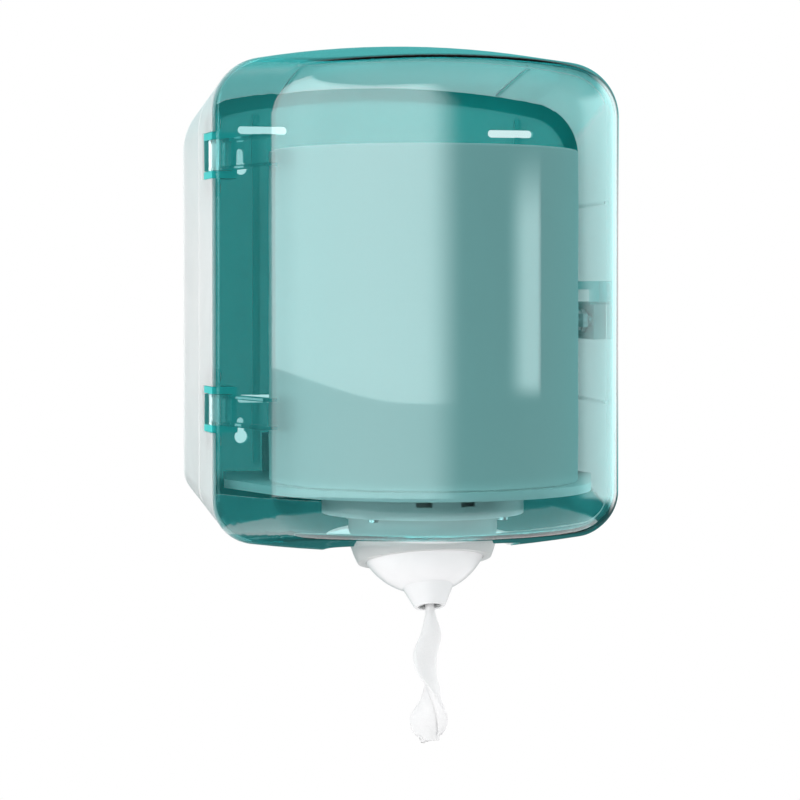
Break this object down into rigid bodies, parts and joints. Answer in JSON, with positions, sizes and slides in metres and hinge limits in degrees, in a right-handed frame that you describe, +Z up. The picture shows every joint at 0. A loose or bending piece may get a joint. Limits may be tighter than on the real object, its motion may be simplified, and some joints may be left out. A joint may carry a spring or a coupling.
{
  "type": "paper towel dispenser",
  "caption": "Wall-mounted centre-feed paper dispenser: hinged clear cover with a key lock, upright roll on a tray, and a swivelling ball nozzle that lets the paper out below.",
  "frame": {"origin": "centre of the four wall keyholes, on the plane of the wall", "axes": "+Z up, -Y out of the wall to the front, +X to the right of someone facing the dispenser"},
  "size_m": [0.258, 0.214, 0.4114],
  "materials": {
    "case_white": "satin",
    "plate_teal": "satin",
    "cover_clear": "clear gloss",
    "collar_grey": "satin",
    "ball_white": "gloss",
    "brake_grey": "matte",
    "paper": "matte",
    "pin_steel": "brushed",
    "screw_steel": "satin",
    "lock_metal": "satin"
  },
  "bodies": {
    "case": {"rear_shell": "case_white", "back_plate": "plate_teal", "hinge_bracket_upper": "plate_teal", "hinge_bracket_lower": "plate_teal", "hinge_pins": "pin_steel", "bracket_screws": "screw_steel", "lock_case": "case_white", "lock_screws": "screw_steel", "roll_tray": "case_white", "tray_screws": "screw_steel", "nozzle_housing": "case_white", "housing_screws": "screw_steel", "paper_funnel": "case_white", "paper_roll": "paper", "paper_feed": "paper"},
    "cover": {"cover_shell": "cover_clear", "hinge_arm_upper": "cover_clear", "hinge_arm_lower": "cover_clear", "cover_strike": "cover_clear"},
    "lock": {"lock_barrel": "lock_metal", "lock_cam": "lock_metal", "cam_screw": "screw_steel"},
    "collar": {"nozzle_collar": "collar_grey"},
    "ball": {"nozzle_ball": "ball_white", "nozzle_outlet": "ball_white", "paper_brake": "brake_grey", "paper_tail": "paper"}
  },
  "joints": [
    {"name": "cover_hinge", "type": "hinge", "parent": "case", "child": "cover", "pos_m": [-0.12054, -0.06677, 0], "axis": [0, 0, -1], "range_deg": [0, 120]},
    {"name": "lock_turn", "type": "hinge", "parent": "case", "child": "lock", "pos_m": [0.118, -0.062, -0.011], "axis": [-1, 0, 0], "range_deg": [0, 90]},
    {"name": "collar_swivel", "type": "hinge", "parent": "case", "child": "collar", "pos_m": [0, -0.098, -0.12], "axis": [0, 0, 1], "continuous": true},
    {"name": "ball_tilt", "type": "hinge", "parent": "collar", "child": "ball", "pos_m": [0, -0.098, -0.133], "axis": [-1, 0, 0], "range_deg": [-12, 8]}
  ]
}
